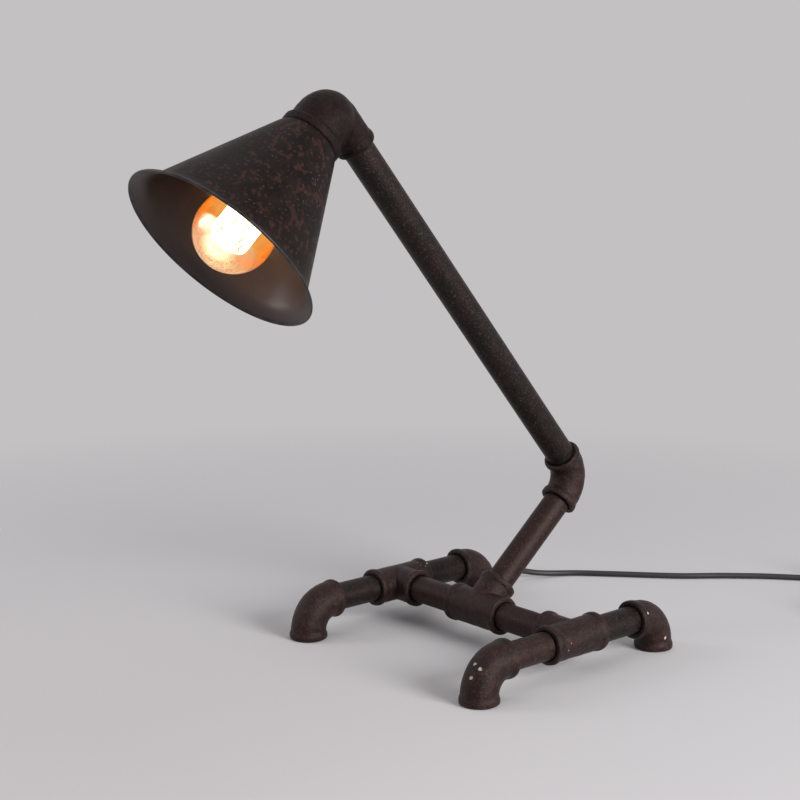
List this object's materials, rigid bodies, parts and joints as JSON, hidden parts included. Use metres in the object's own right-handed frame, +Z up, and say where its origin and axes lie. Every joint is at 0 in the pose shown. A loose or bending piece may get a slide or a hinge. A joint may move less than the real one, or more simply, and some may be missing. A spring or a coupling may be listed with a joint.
{
  "type": "table lamp",
  "caption": "Table lamp of threaded pipe and elbows with a leaning arm, a cone shade, a clear filament bulb and an inline cord switch.",
  "frame": {"origin": "on the table, under the middle of the lamp without its cord", "axes": "+Z up, -Y towards the shade, X along the crossbar"},
  "size_m": [0.3951, 0.8386, 0.5175],
  "materials": {
    "fitting": "oiled dark brown casting",
    "pipe": "dark oiled steel, satin",
    "arm_pipe": "dark oiled steel, satin",
    "shade": "blackened steel with rust flecks",
    "holder": "gloss",
    "brass": "satin",
    "bulb_glass": "clear, faintly amber",
    "stem_glass": "clear",
    "insulator": "gloss",
    "plated": "plated",
    "filament": "glowing",
    "switch": "matt",
    "rocker": "satin",
    "plug": "matt",
    "cord": "matt"
  },
  "bodies": {
    "base": {"foot_elbow_fl": "fitting", "foot_elbow_fr": "fitting", "foot_elbow_rl": "fitting", "foot_elbow_rr": "fitting", "bar_pipe_fl": "pipe", "bar_pipe_fr": "pipe", "bar_pipe_rl": "pipe", "bar_pipe_rr": "pipe", "side_tee_left": "fitting", "side_tee_right": "fitting", "cross_pipe_left": "pipe", "cross_pipe_right": "pipe", "base_lead": "cord", "cord_bush": "plug", "switch_base": "switch", "switch_cover": "switch", "switch_contacts": "brass", "switch_screws": "plated", "cord_lead": "cord", "cord_link": "cord", "cord_coil": "cord", "cord_tail": "cord", "plug_body": "plug", "plug_blades": "plated", "plug_earth_pin": "plated"},
    "riser": {"centre_tee": "fitting", "riser_pipe": "pipe", "riser_lead": "cord"},
    "arm": {"middle_elbow": "fitting", "arm_pipe": "arm_pipe", "arm_lead": "cord"},
    "head": {"head_elbow": "fitting", "head_lead": "cord", "shade": "shade", "shade_collar": "fitting", "lampholder": "holder", "lampholder_nut": "brass", "screw_shell": "brass", "centre_spring": "brass", "terminal_screws": "brass"},
    "bulb": {"bulb_glass": "bulb_glass", "bulb_cap": "brass", "bulb_insulator": "insulator", "bulb_contact": "plated", "bulb_stem": "stem_glass", "filament_supports": "plated", "filament": "filament"},
    "rocker": {"switch_rocker": "rocker"}
  },
  "joints": [
    {"name": "arm_tilt", "type": "hinge", "parent": "base", "child": "riser", "pos_m": [0, 0.109, 0.033], "axis": [1, 0, 0], "range_deg": [-15, 15]},
    {"name": "arm_swing", "type": "hinge", "parent": "riser", "child": "arm", "pos_m": [0, 0.23732, 0.14144], "axis": [0, 0.7638, 0.6455], "range_deg": [-45, 45]},
    {"name": "head_turn", "type": "hinge", "parent": "arm", "child": "head", "pos_m": [0, -0.06573, 0.50004], "axis": [0, -0.6455, 0.7638], "range_deg": [-90, 90]},
    {"name": "bulb_out", "type": "slide", "parent": "head", "child": "bulb", "axis": [0, -0.7337, -0.6794], "range_m": [0, 0.15]},
    {"name": "switch_rocker", "type": "hinge", "parent": "base", "child": "rocker", "pos_m": [0.128, 0.5515, 0.0164], "axis": [-0.6626, 0.749, 0], "range_deg": [0, 16]}
  ]
}
